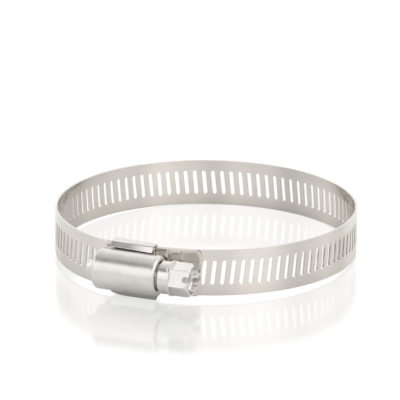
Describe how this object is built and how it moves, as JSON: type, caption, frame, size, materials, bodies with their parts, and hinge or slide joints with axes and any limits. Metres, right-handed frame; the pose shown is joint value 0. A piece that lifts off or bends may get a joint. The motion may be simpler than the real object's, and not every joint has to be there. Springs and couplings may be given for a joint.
{
  "type": "worm-drive hose clamp",
  "caption": "Worm-drive hose clamp with a slotted steel band, a barrel housing and a hex-head screw that draws the band's free end in to tighten the loop.",
  "frame": {"origin": "centre of the round loop, on its axis, at half the band's width", "axes": "+Z along the loop's axis, -Y towards the screw housing, +X along the screw towards its head"},
  "size_m": [0.0811, 0.091, 0.015],
  "materials": {
    "band": "satin, light brushing along the band",
    "saddle": "satin",
    "housing": "smooth, half bright",
    "screw": "bright plated"
  },
  "bodies": {
    "housing": {"screw_housing": "housing", "saddle": "saddle", "band_fixed_end": "band"},
    "screw": {"worm_screw": "screw"},
    "free_end": {"band_free_end": "band"},
    "entry": {"band_entry": "band"},
    "right": {"band_right": "band"},
    "back": {"band_back": "band"},
    "left": {"band_left": "band"}
  },
  "joints": [
    {"name": "screw_turn", "type": "hinge", "parent": "housing", "child": "screw", "pos_m": [0, -0.04515, 0], "axis": [-1, 0, 0], "range_deg": [0, 1440]},
    {"name": "free_end_feed", "type": "hinge", "parent": "housing", "child": "free_end", "pos_m": [-0.003, 0.01894, 0], "axis": [0, 0, 1], "range_deg": [0, 9.8]},
    {"name": "entry_bend", "type": "hinge", "parent": "free_end", "child": "entry", "pos_m": [-0.01525, -0.03969, 0], "axis": [0, 0, 1], "range_deg": [-1.25, 0]},
    {"name": "right_bend", "type": "hinge", "parent": "housing", "child": "right", "pos_m": [0.00588, -0.03972, 0], "axis": [0, 0, 1], "range_deg": [0, 0.709]},
    {"name": "back_bend", "type": "hinge", "parent": "right", "child": "back", "pos_m": [0.02573, 0.03082, 0], "axis": [0, 0, 1], "range_deg": [0, 2.82]},
    {"name": "left_bend", "type": "hinge", "parent": "back", "child": "left", "pos_m": [-0.01761, 0.03608, 0], "axis": [0, 0, 1], "range_deg": [0, 5.05]}
  ],
  "couplings": [
    {"joint": "free_end_feed", "follows": "screw_turn", "ratio": 0.0068012},
    {"joint": "entry_bend", "follows": "screw_turn", "ratio": -0.00086339},
    {"joint": "right_bend", "follows": "screw_turn", "ratio": 0.00048534},
    {"joint": "back_bend", "follows": "screw_turn", "ratio": 0.0019536},
    {"joint": "left_bend", "follows": "screw_turn", "ratio": 0.0034989}
  ]
}
